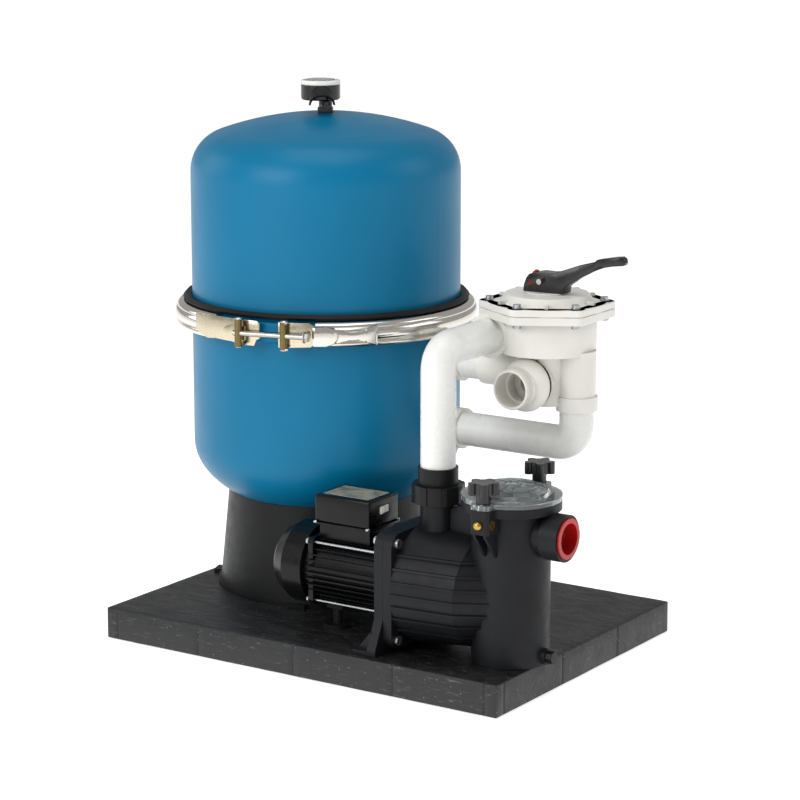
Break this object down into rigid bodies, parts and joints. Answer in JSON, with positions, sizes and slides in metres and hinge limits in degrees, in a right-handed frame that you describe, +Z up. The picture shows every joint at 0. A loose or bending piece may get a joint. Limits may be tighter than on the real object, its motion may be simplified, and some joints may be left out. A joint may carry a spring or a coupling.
{
  "type": "pool filter set",
  "caption": "Pool sand filter unit: clamped two-part tank on a skirt, six-way lever valve, piping and a strainer pump on one base plate.",
  "frame": {"origin": "centre of the base plate's underside", "axes": "+Z up, +X along the plate's long side from the tank to the pump inlet, +Y away from the pump"},
  "size_m": [0.7701, 0.541, 0.8145],
  "materials": {
    "black_slab": "textured recycled plastic",
    "tank_blue": "satin",
    "black_plastic": "moulded",
    "gloss_black": "gloss",
    "black_rubber": "matt",
    "stainless": "polished",
    "steel": "zinc plated",
    "brass": "machined",
    "white_plastic": "satin",
    "pump_plastic": "glass filled, moulded",
    "motor_black": "gloss",
    "clear": "clear moulded",
    "red_plastic": "moulded",
    "sand": "granular",
    "grey_metal": "cast",
    "iron": "laminated core"
  },
  "bodies": {
    "unit": {"base_plate": "black_slab", "tank_skirt": "black_plastic", "tank_lower_shell": "tank_blue", "tank_upper_shell": "tank_blue", "tank_seals": "black_rubber", "clamp_band": "stainless", "clamp_trunnions": "stainless", "tank_bulkheads": "white_plastic", "inlet_diffuser": "white_plastic", "collector_hub": "white_plastic", "collector_laterals": "white_plastic", "sand_bed": "sand", "gauge_tee": "black_plastic", "gauge_case": "black_plastic", "gauge_lens": "clear", "valve_body": "white_plastic", "valve_cover": "white_plastic", "valve_cover_bolts": "steel", "valve_spring": "steel", "return_tailpiece": "white_plastic", "return_union_seal": "black_rubber", "riser_pipe": "white_plastic", "upper_pipe": "white_plastic", "lower_pipe": "white_plastic", "pump_body": "pump_plastic", "lid_barrel_nuts": "brass", "discharge_tail": "black_plastic", "motor_flange": "pump_plastic", "flange_bolts": "steel", "motor_housing": "motor_black", "tie_rods": "steel", "motor_stator": "iron", "motor_bearings": "steel", "fan_cover": "motor_black", "terminal_box": "motor_black", "terminal_cover": "motor_black", "motor_foot": "black_plastic"},
    "spring_carrier": {"spring_washer": "stainless"},
    "rotor": {"valve_rotor": "white_plastic", "handle_pin": "steel"},
    "handle": {"handle_lever": "gloss_black"},
    "pump_spindle": {"motor_rotor": "steel", "mechanical_seal": "grey_metal", "impeller": "black_plastic", "cooling_fan": "black_plastic"},
    "lid": {"strainer_lid": "clear", "lid_seal": "black_rubber"},
    "knob_front": {"lid_knob_front": "black_plastic"},
    "knob_rear": {"lid_knob_rear": "black_plastic"},
    "basket": {"strainer_basket": "black_plastic"},
    "needle": {"gauge_needle": "gloss_black"},
    "bleed": {"bleed_screw": "black_plastic"},
    "switch": {"power_switch": "white_plastic"},
    "return_nut": {"return_union_nut": "white_plastic"},
    "outlet_nut": {"discharge_nut": "black_plastic"},
    "inlet_plug": {"suction_plug": "red_plastic"},
    "drain": {"drain_plug": "black_plastic"},
    "closure_bolt": {"clamp_bolt": "steel"}
  },
  "joints": [
    {"name": "rotor_lift", "type": "slide", "parent": "unit", "child": "spring_carrier", "axis": [0, 0, 1], "range_m": [0, 0.006], "stiffness_N_per_m": 100, "deforming": ["valve_spring"]},
    {"name": "rotor_turn", "type": "hinge", "parent": "spring_carrier", "child": "rotor", "pos_m": [0.2275, 0.068, 0.5], "axis": [0, 0, 1], "continuous": true},
    {"name": "lever_press", "type": "hinge", "parent": "rotor", "child": "handle", "pos_m": [0.2275, 0.068, 0.549], "axis": [0, 1, 0], "range_deg": [0, 17]},
    {"name": "pump_spin", "type": "hinge", "parent": "unit", "child": "pump_spindle", "pos_m": [0.06, -0.13, 0.137], "axis": [1, 0, 0], "continuous": true},
    {"name": "lid_lift", "type": "slide", "parent": "unit", "child": "lid", "axis": [0, 0, 1], "range_m": [0, 0.23]},
    {"name": "basket_lift", "type": "slide", "parent": "unit", "child": "basket", "axis": [0, 0, 1], "range_m": [0, 0.215]},
    {"name": "knob_front_turn", "type": "hinge", "parent": "lid", "child": "knob_front", "pos_m": [0.2916, -0.204, 0.3], "axis": [0, 0, 1], "continuous": true},
    {"name": "knob_rear_turn", "type": "hinge", "parent": "lid", "child": "knob_rear", "pos_m": [0.2916, -0.056, 0.3], "axis": [0, 0, 1], "continuous": true},
    {"name": "needle_swing", "type": "hinge", "parent": "unit", "child": "needle", "pos_m": [-0.164, 0.064, 0.805], "axis": [0, 0, -1], "range_deg": [0, 270]},
    {"name": "bleed_turn", "type": "hinge", "parent": "unit", "child": "bleed", "pos_m": [-0.158, 0.068, 0.776], "axis": [0.6157, -0.788, 0], "range_deg": [-360, 0]},
    {"name": "switch_rock", "type": "hinge", "parent": "unit", "child": "switch", "pos_m": [0.079, -0.13, 0.232], "axis": [0, 0, 1], "range_deg": [-16, 0]},
    {"name": "return_nut_turn", "type": "hinge", "parent": "unit", "child": "return_nut", "pos_m": [0.2275, 0, 0.405], "axis": [0, 1, 0], "continuous": true},
    {"name": "outlet_nut_turn", "type": "hinge", "parent": "unit", "child": "outlet_nut", "pos_m": [0.171, -0.13, 0.27], "axis": [0, 0, 1], "continuous": true},
    {"name": "inlet_plug_pull", "type": "slide", "parent": "unit", "child": "inlet_plug", "axis": [1, 0, 0], "range_m": [0, 0.04]},
    {"name": "drain_turn", "type": "hinge", "parent": "unit", "child": "drain", "pos_m": [0.346, -0.13, 0.06], "axis": [1, 0, 0], "continuous": true},
    {"name": "closure_bolt_turn", "type": "hinge", "parent": "unit", "child": "closure_bolt", "pos_m": [-0.10091, -0.16099, 0.47], "axis": [0.9703, 0.2419, 0], "continuous": true}
  ],
  "couplings": [
    {"joint": "rotor_lift", "follows": "lever_press", "m_per_rad": 0.019548},
    {"joint": "basket_lift", "follows": "lid_lift", "ratio": 0.93}
  ]
}
